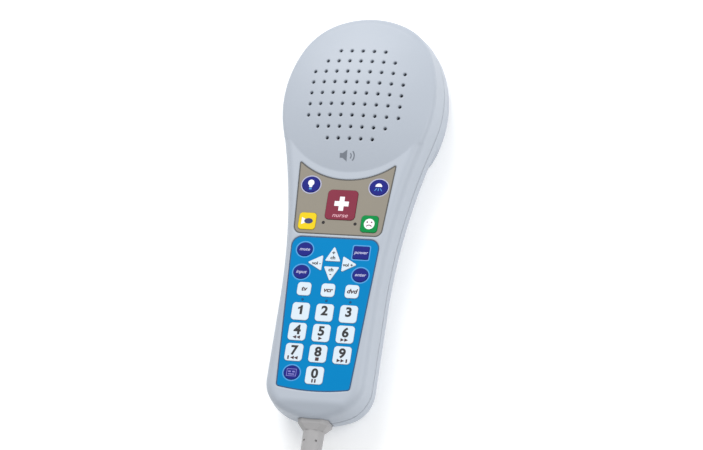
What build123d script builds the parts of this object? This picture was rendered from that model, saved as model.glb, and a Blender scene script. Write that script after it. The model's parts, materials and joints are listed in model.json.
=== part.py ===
from build123d import *
import os
from math import asin, atan2, cos, degrees, pi, radians, sin, sqrt, tan

# A bedside pillow-speaker handset: a round speaker head on a handle with two keypads, and its cord.
# It lies on its back. x runs across it, y along it towards the head, and z up out of its face.
# The origin is the centre of the housing's footprint, on the surface that it lies on. Millimetres.
# Places along the handset are given from the centre of the speaker grille, and along() turns
# them into y.

# Housing
length = 217.2  # from the crown of the head to the tail of the handle
grille_y = length / 2 - 46.3
face_z = 27.4  # keypad face above the back
seam_z = 14.6  # parting plane of the two covers, and the axis of the cord
seam_gap = 0.4  # left between the covers for the seal
wall = 2.4
front_draft = 6.8  # degrees
rear_draft = 0.5

# Plan outline at the seam: arcs that meet tangentially, given for the right half
crown_r = 48.6
brow_r = 33.6
cheek_r = 62.9
neck_r = 321.6
crown_end = 67.45  # the direction in which the crown arc ends, in degrees from +x
brow_end = 26.42
handle_half = 27.1
corner_r = 17.2
tail_r = 44.7

# Front surface
dome_r = 127.0
dome_rise = 6.8  # apex of the dome above the keypad face
head_edge_r = 3.0
handle_edge_r = 4.8
puck_r = 44.0  # the head stands out of the handle's shoulders as a disc of this radius
puck_low = -12.0  # the head takes in everything above here
roll_start = -161.5  # where the face begins to roll down at the tail
roll_r = 5.0
roll_turn = 30.0  # degrees, after which the tail runs down straight
slope_length = 30.0

# Back surface
back_head_edge_r = 5.0
back_handle_edge_r = 10.0
label_size = (30.0, 46.0)
label_at = -104.0
label_depth = 0.4
label_thick = 0.3
seal_inset = (0.6, 1.8)

# Grille
hole_pitch = 6.05
hole_r = 0.92
grille_rows = (5, 7, 9, 9, 9, 9, 9, 7, 5)
cloth_r = 29.6
cloth_thick = 0.3
cloth_gap = 0.02

# Keypads
recess = 0.5
overlay_thick = 0.4
overlay_gap = 0.25
key_gap = 0.15
key_proud = 0.3
key_edge_r = 0.25
flange_grow = 0.35
flange_thick = 0.8
flange_gap = 0.15
key_travel = 0.4
stem_r = 1.3
dome_height = 0.35
snap_dome_r = 2.4
arrow_tip_r = 0.5
lamp_gap = 0.1
led_size = (1.6, 0.8, 0.5)
board_drop = 5.2  # top of the circuit board below the face
board_thick = 1.6
board_outline = (
    (-22.5, -44.0), (22.5, -44.0), (22.5, -146.0), (9.0, -159.5), (-9.0, -159.5), (-22.5, -146.0)
)
# Centre x, place, width, depth and height of each component under the board
chips = (
    (0.0, -100.0, 12.0, 12.0, 1.6),
    (-12.0, -84.0, 5.0, 8.0, 1.8),
    (12.0, -78.0, 5.0, 8.0, 1.8),
    (12.0, -118.0, 7.0, 4.0, 3.2),
    (-12.0, -122.0, 4.0, 4.0, 4.5),
)
header_at = -145.0
header_size = (16.0, 5.0, 4.2)
header_pitch = 2.0
wire_count = 7
wire_pitch = 1.3
wire_r = 0.5
wire_straight = 4.0
wire_bend = 3.0

# Name, shape, size, x, place along the handset and turn of each key. An oval key's size is its
# half axes, an arrow's its base and height, and a block's its width, height and corner radius.
keys = (
    ("reading_light", "oval", (4.8, 4.25), -18.0, -48.7, 0),
    ("room_light", "oval", (4.8, 4.25), 18.3, -48.7, 0),
    ("nurse", "block", (16.0, 16.0, 2.2), 0.0, -59.0, 0),
    ("lamp", "block", (9.2, 9.0, 1.8), -16.9, -68.5, 0),
    ("pain", "block", (9.0, 9.0, 1.8), 16.3, -68.5, 0),
    ("mute", "oval", (4.1, 3.6), -15.7, -83.7, 0),
    ("power", "block", (8.2, 6.7, 0.6), 14.3, -84.0, 0),
    ("input", "oval", (4.1, 3.6), -15.7, -95.8, 0),
    ("enter", "oval", (4.1, 3.6), 15.7, -95.8, 0),
    ("channel_up", "arrow", (8.5, 8.0), 0.0, -85.3, 0),
    ("channel_down", "arrow", (8.5, 7.8), 0.0, -96.1, 180),
    ("volume_down", "arrow", (8.5, 7.9), -9.25, -90.5, 90),
    ("volume_up", "arrow", (8.5, 7.9), 9.25, -90.5, -90),
    ("tv", "block", (7.3, 7.0, 1.8), -12.7, -104.7, 0),
    ("tape", "block", (7.3, 7.0, 1.8), 0.0, -104.7, 0),
    ("disc", "block", (7.3, 7.0, 1.8), 12.7, -104.7, 0),
    ("1", "block", (9.3, 9.2, 1.8), -12.7, -116.6, 0),
    ("2", "block", (9.3, 9.2, 1.8), 0.0, -116.6, 0),
    ("3", "block", (9.3, 9.2, 1.8), 12.7, -116.6, 0),
    ("4", "block", (9.3, 9.2, 1.8), -12.7, -127.3, 0),
    ("5", "block", (9.3, 9.2, 1.8), 0.0, -127.3, 0),
    ("6", "block", (9.3, 9.2, 1.8), 12.7, -127.3, 0),
    ("7", "block", (9.3, 9.2, 1.8), -12.7, -138.1, 0),
    ("8", "block", (9.3, 9.2, 1.8), 0.0, -138.1, 0),
    ("9", "block", (9.3, 9.2, 1.8), 12.7, -138.1, 0),
    ("0", "block", (9.3, 9.2, 1.8), 0.0, -149.4, 0),
    ("captions", "oval", (4.1, 3.6), -12.2, -148.7, 0),
)
# Node, radius and places of each set of lamps
lamp_sets = (
    ("call_lamps", 0.75, ((-8.3, -68.8), (8.7, -68.8))),
    ("mode_lamps", 0.55, ((-12.7, -110.3), (0.0, -110.3), (12.7, -110.3))),
)

# Fastenings
cover_screw_places = ((27.9, 27.2), (22.0, -40.0), (17.5, -158.0))  # on the right, and mirrored
board_screw_places = ((19.5, -58.6), (8.2, -156.4))  # the same
speaker_screw_angles = (90, 210, 330)
cover_boss_r = 3.2
rear_boss_r = 4.6
cover_screw_r = 1.45
cover_screw_seat = 6.0  # height of the seat above the back
cover_screw_length = 15.0
cover_head = (2.8, 2.0)  # radius and height of a screw's head
small_screw_r = 1.2
small_screw_length = 5.0
small_head = (2.2, 1.4)
screw_gap = 0.08
post_r = 2.5

# Speaker
speaker_r = 33.0
cone_hole_r = 28.7  # inside of the frame's rim
gasket_top = 1.7  # depths below the face
speaker_top = 3.2
rim_thick = 1.0
basket_bottom = 14.0
magnet_face = 13.4
magnet_top = 15.2
neck_depth = 10.0
surround_r = 24.0
cap_r = 8.0
cap_height = 2.6
cap_thick = 0.3
magnet_bottom = 21.2
yoke_bottom = 23.2
magnet_r = 15.0
basket_top_r = 30.6
basket_foot_r = 16.0
basket_thick = 0.8
basket_windows = 4
basket_window_angle = 62
magnet_hole_r = 5.9
pole_r = 4.8
coil_r = 5.2
retainer_thick = 1.2
retainer_ring_r = 34.4
retainer_ear_r = 2.4
speaker_room_r = 38.8
lead_x = 2.2
lead_depth = 10.4
lead_start = -22.3
lead_end = -47.5
speaker_screw_at = 36.2

# Cord, its strain relief and its plug
cord_r = 3.25
relief_flange = (15.0, 12.0, 2.0)  # width, height and corner radius
relief_flange_start = -163.4
relief_flange_thick = 2.4
relief_neck_r = 5.5
relief_gap = 0.15
tail_block = (23.0, -165.9)  # width, and where the thickened wall at the tail begins
collar_start = -167.9
collar = (15.8, 13.2, 2.7)  # an octagon: width, height and corner
collar_length = 4.2
nose = (11.0, 11.0, 3.2)
nose_length = 3.0
sleeve_start = collar_start - collar_length - nose_length
sleeve_end = -219.0
sleeve_r = 5.45
sleeve_end_r = 4.4
vent_r = 0.6
vent_depth = 1.0
vent_count = 5
vent_start = -180.5
vent_pitch = 7.0
vent_rows = 5
coil_centre = (-10.0, -272.0)
coil_mean_r = 38.0
coil_columns = 5
coil_rows = 2
tie_thick = 0.7
tie_width = 9.0
tie_angle = 250
plug_x = -60.0
plug_start = -226.0
plug_boot_length = 16.0
plug_boot_end_r = 5.6
plug_r = 7.6
plug_length = 24.0
plug_shell_r = 6.65
plug_bore_r = 6.0
plug_shell_length = 10.0
plug_insert_length = 6.0
plug_grooves = 4
plug_pin_r = 0.7
plug_pin_circle = 3.9
plug_pin_count = 8

os.makedirs("parts", exist_ok=True)


def save(part, name):
    """Writes one piece as a node of its own."""
    part.label = name
    export_step(part, f"parts/{name}.step")


def along(place):
    """The y of a place along the handset."""
    return grille_y + place


def both_sides(places):
    """Places on the right and their mirror images on the left."""
    return [(side * x, along(place)) for x, place in places for side in (1, -1)]


def polar(centre, radius, angle):
    """The point at an angle in degrees on a circle."""
    return centre[0] + radius * cos(radians(angle)), centre[1] + radius * sin(radians(angle))


# Plan outline -------------------------------------------------------------------------------

crown_centre = (0, length / 2 - crown_r)
brow_centre = polar(crown_centre, crown_r - brow_r, crown_end)
cheek_centre = polar(brow_centre, brow_r - cheek_r, brow_end)
neck_x = handle_half + neck_r
neck_drop = sqrt((cheek_r + neck_r) ** 2 - (neck_x - cheek_centre[0]) ** 2)
neck_centre = (neck_x, cheek_centre[1] - neck_drop)
neck_angle = degrees(asin(neck_drop / (cheek_r + neck_r)))
corner_x = handle_half - corner_r
tail_centre_y = tail_r - length / 2
corner_y = tail_centre_y - sqrt((tail_r - corner_r) ** 2 - corner_x**2)
corner_angle = degrees(atan2(corner_y - tail_centre_y, corner_x))

with BuildSketch() as outline:
    with BuildLine():
        CenterArc(crown_centre, crown_r, crown_end, 90 - crown_end)
        CenterArc(brow_centre, brow_r, brow_end, crown_end - brow_end)
        CenterArc(cheek_centre, cheek_r, -neck_angle, brow_end + neck_angle)
        CenterArc(neck_centre, neck_r, 180 - neck_angle, neck_angle)
        Line((handle_half, neck_centre[1]), (handle_half, corner_y))
        CenterArc((corner_x, corner_y), corner_r, corner_angle, -corner_angle)
        CenterArc((0, tail_centre_y), tail_r, -90, 90 + corner_angle)
        mirror(about=Plane.YZ)
    make_face()


def inset_outline(amount):
    """The plan outline drawn in by an amount."""
    with BuildSketch() as inner:
        add(outline.sketch)
        offset(amount=-amount)
    return inner.sketch


def head_region(disc_r):
    """The plan region that belongs to the head: a disc, and everything above its lower part."""
    with BuildSketch() as region:
        with Locations((0, grille_y)):
            Circle(disc_r)
        with Locations((0, along(puck_low))):
            Rectangle(length, length, align=(Align.CENTER, Align.MIN))
    return region.sketch


def rim_edges(part, low, high):
    """The edges round the top or bottom of a form: those that lie within a band of heights."""
    edges = part.edges().filter_by(Axis.X, reverse=True)
    return edges.filter_by(lambda edge: all(low < v.Z < high for v in edge.vertices()))


def above_top(top_z, radius):
    """What lies above a flat top that rolls down at the tail, drawn on the middle plane."""
    centre = (along(roll_start), face_z - roll_r)
    high = top_z + length
    with BuildSketch(Plane.YZ) as profile:
        with BuildLine():
            Line((length, top_z), (centre[0], top_z))
            roll = CenterArc(centre, radius, 90, roll_turn)
            slope = PolarLine(roll @ 1, slope_length, direction=roll % 1)
            foot = slope @ 1
            Polyline(foot, (foot.X, high), (length, high), (length, top_z))
        make_face()
    return profile.sketch


# Housing forms, with no hollows yet ---------------------------------------------------------

front_rim_z = seam_z + seam_gap / 2
rear_rim_z = seam_z - seam_gap / 2
inner_z = face_z - wall
block_top = face_z + dome_rise + 1
dome_centre = (0, grille_y, face_z + dome_rise - dome_r)
edge_band = 3  # a rim edge lies further than this from the seam

with BuildPart() as front_block:
    with BuildSketch(Plane.XY.offset(front_rim_z)):
        add(outline.sketch)
    extrude(amount=block_top - front_rim_z, taper=front_draft)

with BuildPart() as handle_front:
    add(front_block.part)
    extrude(above_top(face_z, roll_r), amount=length, both=True, mode=Mode.SUBTRACT)
    fillet(rim_edges(handle_front.part, front_rim_z + edge_band, block_top), handle_edge_r)

with BuildPart() as head_front:
    add(front_block.part)
    with Locations(dome_centre):
        Sphere(dome_r, mode=Mode.INTERSECT)
    with BuildSketch(Plane.XY.offset(front_rim_z)):
        add(head_region(puck_r))
    extrude(amount=block_top, mode=Mode.INTERSECT)
    fillet(rim_edges(head_front.part, front_rim_z + edge_band, block_top), head_edge_r)

with BuildPart() as front_form:
    add(handle_front.part)
    add(head_front.part)

with BuildPart() as front_hollow:
    with BuildSketch(Plane.XY.offset(front_rim_z)):
        add(inset_outline(wall))
    extrude(amount=block_top - front_rim_z, taper=front_draft)
    extrude(above_top(inner_z, roll_r - wall), amount=length, both=True, mode=Mode.SUBTRACT)

with BuildPart() as dome_hollow:
    with BuildSketch(Plane.XY.offset(front_rim_z)):
        with Locations((0, grille_y)):
            Circle(speaker_room_r)
    extrude(amount=block_top)
    with Locations(dome_centre):
        Sphere(dome_r - wall, mode=Mode.INTERSECT)


def rear_solid(inset, floor_z, handle_edge, head_edge):
    """The rear cover's outer form, or its hollow: a rounded handle joined to a sharper head."""
    height = rear_rim_z - floor_z
    drafted = tan(radians(rear_draft)) * height
    with BuildPart() as block:
        with BuildSketch(Plane.XY.offset(floor_z)):
            add(inset_outline(inset + drafted))
        extrude(amount=height, taper=-rear_draft)
    with BuildPart() as head:
        add(block.part)
        fillet(head.edges().group_by(Axis.Z)[0], head_edge)
        with BuildSketch(Plane.XY.offset(floor_z)):
            add(head_region(puck_r - inset))
        extrude(amount=height, mode=Mode.INTERSECT)
    with BuildPart() as whole:
        add(block.part)
        fillet(whole.edges().group_by(Axis.Z)[0], handle_edge)
        add(head.part)
    return whole.part


rear_form = rear_solid(0, 0, back_handle_edge_r, back_head_edge_r)
rear_hollow = rear_solid(wall, wall, back_handle_edge_r - wall, back_head_edge_r - wall)


# Outlines shared by the covers, the overlays and the keys --------------------------------------

def key_outline(shape, size, grow):
    """A key's outline about its own centre, drawn out by an amount."""
    with BuildSketch() as face:
        if shape == "oval":
            Ellipse(size[0] + grow, size[1] + grow)
        elif shape == "arrow":
            base, height = size
            Polygon((-base / 2, -height / 2), (base / 2, -height / 2), (0, height / 2))
            fillet(face.vertices(), arrow_tip_r)
        else:
            RectangleRounded(*size)
        if grow and shape != "oval":
            offset(amount=grow)
    return face.sketch


def openings(grow, lamp_grow):
    """All the key and lamp openings of the face in one sketch."""
    with BuildSketch() as holes:
        for name, shape, size, x, place, turn in keys:
            with Locations(Location((x, along(place), 0), (0, 0, turn))):
                add(key_outline(shape, size, grow))
        for name, radius, places in lamp_sets:
            with Locations([(x, along(place)) for x, place in places]):
                Circle(radius + lamp_grow)
    return holes.sketch


with BuildSketch() as upper_panel:
    with BuildLine():
        top = ThreePointArc((-25.8, along(-36)), (0, along(-45.3)), (25.8, along(-36)))
        Polyline(top @ 1, (23.3, along(-75)), (-23.3, along(-75)), top @ 0)
    make_face()
    fillet(upper_panel.vertices().group_by(Axis.Y)[0], 3.8)
    fillet(upper_panel.vertices().group_by(Axis.Y)[-1], 0.5)

with BuildSketch() as lower_panel:
    with BuildLine():
        bottom = ThreePointArc((19.3, along(-155.8)), (0, along(-157.5)), (-19.3, along(-155.8)))
        Polyline(bottom @ 1, (-23.5, along(-76.7)), (23.5, along(-76.7)), bottom @ 0)
    make_face()
    fillet(lower_panel.vertices().group_by(Axis.Y)[-1], 5)
    fillet(lower_panel.vertices().group_by(Axis.Y)[0], 1.5)


def octagon(size, grow):
    """An upright rectangle with cut corners, drawn out by an amount."""
    width, height, corner = size
    with BuildSketch() as shape:
        Rectangle(width, height)
        chamfer(shape.vertices(), corner)
        if grow:
            offset(amount=grow, kind=Kind.INTERSECTION)
    return shape.sketch


def across(place):
    """A plane square to the cord's axis, facing away from the head, with local y up."""
    return Plane(origin=(0, along(place), seam_z), x_dir=(1, 0, 0), z_dir=(0, -1, 0))


# Covers ---------------------------------------------------------------------------------------

cover_screws_at = both_sides(cover_screw_places)
board_screws_at = both_sides(board_screw_places)
speaker_screws_at = [polar((0, grille_y), speaker_screw_at, a) for a in speaker_screw_angles]
gasket_z = face_z - gasket_top
speaker_z = face_z - speaker_top
retainer_z = speaker_z - rim_thick
board_top = face_z - board_drop
board_bottom = board_top - board_thick
cover_pilot_top = cover_screw_seat + cover_screw_length + 0.6
board_pilot_top = board_bottom + small_screw_length + 0.1
speaker_pilot_top = retainer_z - retainer_thick + small_screw_length + 0.1
tail_box = Box(tail_block[0], 40, 100, align=(Align.CENTER, Align.MAX, Align.CENTER))
tail_box = Plane((0, along(tail_block[1]), 0)) * tail_box

with BuildPart() as cord_way:
    with BuildSketch(across(relief_flange_start)):
        Circle(relief_neck_r + relief_gap)
    extrude(amount=relief_flange_start - collar_start)
    with BuildSketch(across(collar_start + relief_gap)):
        add(octagon(collar, relief_gap))
    extrude(amount=3 * sleeve_r)

with BuildPart() as boss_room:
    add(front_form.part)
    with BuildSketch():
        add(outline.sketch)
    extrude(amount=front_rim_z)

with BuildPart() as front_bosses:
    with BuildSketch(Plane.XY.offset(seam_z)):
        with Locations(cover_screws_at):
            Circle(cover_boss_r)
    extrude(amount=block_top)
    with BuildSketch(Plane.XY.offset(board_top)):
        with Locations(board_screws_at):
            Circle(post_r)
    extrude(amount=block_top)
    with BuildSketch(Plane.XY.offset(retainer_z)):
        with Locations(speaker_screws_at):
            Circle(post_r)
    extrude(amount=block_top)
    with BuildSketch(Plane.XY.offset(gasket_z)):
        with Locations((0, grille_y)):
            Circle(speaker_r)
            Circle(speaker_r - 3, mode=Mode.SUBTRACT)
    extrude(amount=block_top)
    add(boss_room.part, mode=Mode.INTERSECT)

with BuildPart() as front_cover:
    add(front_form.part)
    add(front_hollow.part - tail_box, mode=Mode.SUBTRACT)
    add(dome_hollow.part, mode=Mode.SUBTRACT)
    add(front_bosses.part)
    add(cord_way.part, mode=Mode.SUBTRACT)
    with BuildSketch(Plane.XY.offset(seam_z)):
        with Locations(cover_screws_at):
            Circle(cover_screw_r + screw_gap)
    extrude(amount=cover_pilot_top - seam_z, mode=Mode.SUBTRACT)
    with BuildSketch(Plane.XY.offset(board_top)):
        with Locations(board_screws_at):
            Circle(small_screw_r + screw_gap)
    extrude(amount=board_pilot_top - board_top, mode=Mode.SUBTRACT)
    with BuildSketch(Plane.XY.offset(retainer_z)):
        with Locations(speaker_screws_at):
            Circle(small_screw_r + screw_gap)
    extrude(amount=speaker_pilot_top - retainer_z, mode=Mode.SUBTRACT)
    with BuildSketch(Plane.XY.offset(face_z - recess)):
        add(upper_panel.sketch)
        add(lower_panel.sketch)
        offset(amount=overlay_gap)
    extrude(amount=recess + 1, mode=Mode.SUBTRACT)
    with BuildSketch(Plane.XY.offset(inner_z - 1)):
        add(openings(key_gap, lamp_gap))
    extrude(amount=wall + 2, mode=Mode.SUBTRACT)
    with BuildSketch(Plane.XY.offset(inner_z)):
        for row, count in enumerate(grille_rows):
            row_y = grille_y + (row - (len(grille_rows) - 1) / 2) * hole_pitch
            with Locations((0, row_y)):
                with GridLocations(hole_pitch, hole_pitch, count, 1):
                    Circle(hole_r)
    extrude(amount=block_top, mode=Mode.SUBTRACT)
save(front_cover.part, "front_cover")

with BuildPart() as rear_bosses:
    with BuildSketch():
        with Locations(cover_screws_at):
            Circle(rear_boss_r)
    extrude(amount=rear_rim_z)
    add(rear_form, mode=Mode.INTERSECT)
    with BuildSketch(Plane.XY.offset(rear_rim_z)):
        with Locations(cover_screws_at):
            Circle(cover_boss_r)
    extrude(amount=seam_z - rear_rim_z)

with BuildPart() as rear_cover:
    add(rear_form)
    add(rear_hollow - tail_box, mode=Mode.SUBTRACT)
    add(rear_bosses.part)
    add(cord_way.part, mode=Mode.SUBTRACT)
    with BuildSketch():
        with Locations(cover_screws_at):
            Circle(cover_screw_r + 2 * screw_gap)
    extrude(amount=seam_z + 1, mode=Mode.SUBTRACT)
    with BuildSketch():
        with Locations(cover_screws_at):
            Circle(cover_head[0] + 0.3)
    extrude(amount=cover_screw_seat, mode=Mode.SUBTRACT)
    with BuildSketch():
        with Locations((0, along(label_at))):
            RectangleRounded(*label_size, 2)
            offset(amount=overlay_gap)
    extrude(amount=label_depth, mode=Mode.SUBTRACT)
save(rear_cover.part, "rear_cover")

with BuildPart() as cover_seal:
    with BuildSketch(Plane.XY.offset(rear_rim_z)):
        add(inset_outline(seal_inset[0]))
        add(inset_outline(seal_inset[1]), mode=Mode.SUBTRACT)
        with Locations((0, along(tail_block[1]))):
            Rectangle(collar[0] + 0.6, 40, align=(Align.CENTER, Align.MAX), mode=Mode.SUBTRACT)
    extrude(amount=seam_gap)
save(cover_seal.part, "cover_seal")

with BuildPart() as rear_label:
    with BuildSketch(Plane.XY.offset(label_depth - label_thick)):
        with Locations((0, along(label_at))):
            RectangleRounded(*label_size, 2)
    extrude(amount=label_thick)
save(rear_label.part, "rear_label")


# Overlays, keys and lamps -----------------------------------------------------------------------

for panel, name in ((upper_panel, "upper_overlay"), (lower_panel, "lower_overlay")):
    with BuildPart() as overlay:
        with BuildSketch(Plane.XY.offset(face_z - recess)):
            add(panel.sketch)
            add(openings(key_gap, lamp_gap), mode=Mode.SUBTRACT)
        extrude(amount=overlay_thick)
    save(overlay.part, name)

flange_z = inner_z - flange_gap - flange_thick
stem_z = board_top + dome_height + key_travel + 0.05
for name, shape, size, x, place, turn in keys:
    key_direction = (cos(radians(turn)), sin(radians(turn)), 0)
    flange_plane = Plane((x, along(place), flange_z), x_dir=key_direction)
    with BuildPart() as key:
        with BuildSketch(flange_plane):
            add(key_outline(shape, size, 0))
        extrude(amount=face_z + key_proud - flange_z)
        fillet(key.edges().group_by(Axis.Z)[-1], key_edge_r)
        with BuildSketch(flange_plane):
            add(key_outline(shape, size, flange_grow))
        extrude(amount=flange_thick)
        with BuildSketch(flange_plane):
            Circle(stem_r)
        extrude(amount=stem_z - flange_z)
    save(key.part, f"key_{name}")

for name, radius, places in lamp_sets:
    with BuildPart() as lamps:
        with BuildSketch(Plane.XY.offset(board_top + led_size[2])):
            with Locations([(x, along(place)) for x, place in places]):
                Circle(radius)
        extrude(amount=face_z - recess + overlay_thick - board_top - led_size[2])
    save(lamps.part, name)


# Circuit board ----------------------------------------------------------------------------------

with BuildPart() as circuit_board:
    with BuildSketch(Plane.XY.offset(board_bottom)):
        with BuildLine():
            Polyline(*[(x, along(place)) for x, place in board_outline], close=True)
        make_face()
        with Locations(board_screws_at):
            Circle(small_screw_r + 2 * screw_gap, mode=Mode.SUBTRACT)
    extrude(amount=board_thick)
save(circuit_board.part, "circuit_board")

with BuildPart() as snap_dome:
    Cylinder(snap_dome_r, dome_height, align=(Align.CENTER, Align.CENTER, Align.MIN))
    chamfer(snap_dome.edges().group_by(Axis.Z)[-1], dome_height * 0.8, snap_dome_r * 0.5)

with BuildPart() as key_domes:
    with Locations([(x, along(place), board_top) for _, _, _, x, place, _ in keys]):
        add(snap_dome.part)
save(key_domes.part, "key_domes")

with BuildPart() as board_chips:
    for x, place, width, depth, height in chips:
        with Locations((x, along(place), board_bottom)):
            Box(width, depth, height, align=(Align.CENTER, Align.CENTER, Align.MAX))
    for _, _, places in lamp_sets:
        with Locations([(x, along(place), board_top) for x, place in places]):
            Box(*led_size, align=(Align.CENTER, Align.CENTER, Align.MIN))
save(board_chips.part, "board_chips")

with BuildPart() as cord_header:
    with Locations((0, along(header_at), board_bottom)):
        Box(*header_size, align=(Align.CENTER, Align.MAX, Align.MAX))
save(cord_header.part, "cord_header")


def wire(points, bend, radius):
    """A round wire along straight runs with rounded corners."""
    with BuildPart() as strand:
        with BuildLine() as path:
            FilletPolyline(*points, radius=bend)
        with BuildSketch(Plane(path.line @ 0, z_dir=path.line % 0)):
            Circle(radius)
        sweep()
    return strand.part


with BuildPart() as cord_wires:
    for strand in range(wire_count):
        offset_count = strand - (wire_count - 1) / 2
        start_x = offset_count * wire_pitch
        end_x = offset_count * header_pitch
        start_y = along(relief_flange_start)
        end_y = along(header_at) - header_size[1]
        end_z = board_bottom - header_size[2] / 2
        route = (
            (start_x, start_y, seam_z),
            (start_x, start_y + wire_straight, seam_z),
            (end_x, end_y - wire_straight, end_z),
            (end_x, end_y, end_z),
        )
        add(wire(route, wire_bend, wire_r))
save(cord_wires.part, "cord_wires")


# Speaker ----------------------------------------------------------------------------------------

def turned(points):
    """A round piece of the speaker, from points of radius and depth below the face."""
    with BuildPart() as piece:
        with BuildSketch(Plane((0, grille_y, face_z), x_dir=(1, 0, 0), z_dir=(0, -1, 0))):
            with BuildLine():
                Polyline(*[(r, -depth) for r, depth in points], close=True)
            make_face()
        revolve(axis=Axis((0, grille_y, 0), (0, 0, 1)))
    return piece.part


retainer_depth = speaker_top + rim_thick
basket = (
    (cone_hole_r, speaker_top + 0.6),
    (cone_hole_r + 1.5, speaker_top + 0.6),
    (cone_hole_r + 1.5, speaker_top),
    (speaker_r, speaker_top),
    (speaker_r, retainer_depth),
    (basket_top_r, retainer_depth),
    (basket_foot_r, basket_bottom),
    (magnet_hole_r, basket_bottom),
    (magnet_hole_r, basket_bottom - basket_thick),
    (basket_foot_r - 0.5, basket_bottom - basket_thick),
    (cone_hole_r, retainer_depth),
)
with BuildPart() as speaker_frame:
    add(turned(basket))
    with BuildSketch(Plane.XY.offset(face_z - basket_bottom)):
        with Locations((0, grille_y)):
            with PolarLocations(0, basket_windows, start_angle=360 / basket_windows / 2):
                with BuildLine():
                    half = basket_window_angle / 2
                    outer = CenterArc((0, 0), basket_top_r - 2, -half, 2 * half)
                    inner = CenterArc((0, 0), basket_foot_r + 1.5, -half, 2 * half)
                    Line(outer @ 0, inner @ 0)
                    Line(outer @ 1, inner @ 1)
                make_face()
    extrude(amount=basket_bottom - retainer_depth - 0.6, mode=Mode.SUBTRACT)
save(speaker_frame.part, "speaker_frame")

magnet = (
    (0, magnet_face), (pole_r, magnet_face), (pole_r, magnet_bottom),
    (magnet_hole_r + 2, magnet_bottom), (magnet_hole_r + 2, magnet_top),
    (magnet_hole_r, magnet_top), (magnet_hole_r, basket_bottom), (magnet_r, basket_bottom),
    (magnet_r, magnet_bottom), (magnet_r - 1, yoke_bottom), (0, yoke_bottom),
)
save(turned(magnet), "speaker_magnet")

cone_top = speaker_top + 0.2
cone = (
    (coil_r - 0.2, neck_depth), (cap_r + 0.4, neck_depth), (surround_r, cone_top + 1.2),
    (cone_hole_r - 0.4, speaker_top + 0.6), (cone_hole_r + 1.4, speaker_top + 0.6),
    (cone_hole_r + 1.4, cone_top), (cone_hole_r - 0.8, cone_top), (surround_r, cone_top + 0.8),
    (cap_r, neck_depth - 0.4), (coil_r - 0.2, neck_depth - 0.4),
)
save(turned(cone), "speaker_cone")

voice_coil = (
    (coil_r - 0.2, neck_depth), (coil_r + 0.3, neck_depth),
    (coil_r + 0.3, magnet_top + 1), (coil_r - 0.2, magnet_top + 1),
)
save(turned(voice_coil), "voice_coil")

gasket = (
    (speaker_r - 3, gasket_top), (speaker_r, gasket_top),
    (speaker_r, speaker_top), (speaker_r - 3, speaker_top),
)
save(turned(gasket), "speaker_gasket")

with BuildPart() as dust_cap:
    with BuildSketch(Plane((0, grille_y, face_z - neck_depth + 0.4), x_dir=(1, 0, 0), z_dir=(0, -1, 0))):
        with BuildLine():
            outer = ThreePointArc((0, cap_height), (cap_r * 0.55, cap_height * 0.72), (cap_r - 0.4, 0))
            inner = ThreePointArc(
                (0, cap_height - cap_thick), (cap_r * 0.55 - 0.1, cap_height * 0.72 - cap_thick),
                (cap_r - 0.8, 0),
            )
            Line(outer @ 0, inner @ 0)
            Line(outer @ 1, inner @ 1)
        make_face()
    revolve(axis=Axis((0, grille_y, 0), (0, 0, 1)))
save(dust_cap.part, "dust_cap")

with BuildPart() as acoustic_cloth:
    with BuildSketch(Plane.XY.offset(inner_z)):
        with Locations((0, grille_y)):
            Circle(cloth_r)
    extrude(amount=block_top)
    with Locations(dome_centre):
        Sphere(dome_r - wall - cloth_gap, mode=Mode.INTERSECT)
        Sphere(dome_r - wall - cloth_gap - cloth_thick, mode=Mode.SUBTRACT)
save(acoustic_cloth.part, "acoustic_cloth")

with BuildPart() as speaker_retainer:
    with BuildSketch(Plane.XY.offset(retainer_z - retainer_thick)):
        with Locations((0, grille_y)):
            Circle(retainer_ring_r)
        with Locations(speaker_screws_at):
            Circle(retainer_ear_r)
        with Locations((0, grille_y)):
            Circle(basket_top_r + 0.4, mode=Mode.SUBTRACT)
        with Locations(speaker_screws_at):
            Circle(small_screw_r + screw_gap, mode=Mode.SUBTRACT)
    extrude(amount=retainer_thick)
save(speaker_retainer.part, "speaker_retainer")

with BuildPart() as speaker_leads:
    for side in (-1, 1):
        lead_z = face_z - lead_depth
        route = (
            (side * lead_x, along(lead_start), lead_z),
            (side * lead_x, along(lead_end), lead_z),
            (side * lead_x, along(lead_end), board_bottom),
        )
        add(wire(route, 1.5, wire_r))
save(speaker_leads.part, "speaker_leads")


# Screws -----------------------------------------------------------------------------------------

def screw(shank_r, length, head, driver):
    """A pan-head screw standing on its head's underside, with its shank up and a cross recess."""
    head_r, head_height = head
    with BuildPart() as piece:
        Cylinder(shank_r, length, align=(Align.CENTER, Align.CENTER, Align.MIN))
        chamfer(piece.edges().group_by(Axis.Z)[-1], shank_r * 0.4)
        Cylinder(head_r, head_height, align=(Align.CENTER, Align.CENTER, Align.MAX))
        fillet(piece.edges().group_by(Axis.Z)[0], head_height * 0.4)
        with BuildSketch(Plane.XY.offset(-head_height)):
            Rectangle(driver, driver / 4)
            Rectangle(driver / 4, driver)
        extrude(amount=head_height * 0.5, mode=Mode.SUBTRACT)
    return piece.part


with BuildPart() as cover_screws:
    with Locations([(x, y, cover_screw_seat) for x, y in cover_screws_at]):
        add(screw(cover_screw_r, cover_screw_length, cover_head, 3.4))
save(cover_screws.part, "cover_screws")

with BuildPart() as inner_screws:
    with Locations([(x, y, board_bottom) for x, y in board_screws_at]):
        add(screw(small_screw_r, small_screw_length, small_head, 2.6))
    with Locations([(x, y, retainer_z - retainer_thick) for x, y in speaker_screws_at]):
        add(screw(small_screw_r, small_screw_length, small_head, 2.6))
save(inner_screws.part, "inner_screws")


# Strain relief ----------------------------------------------------------------------------------

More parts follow.
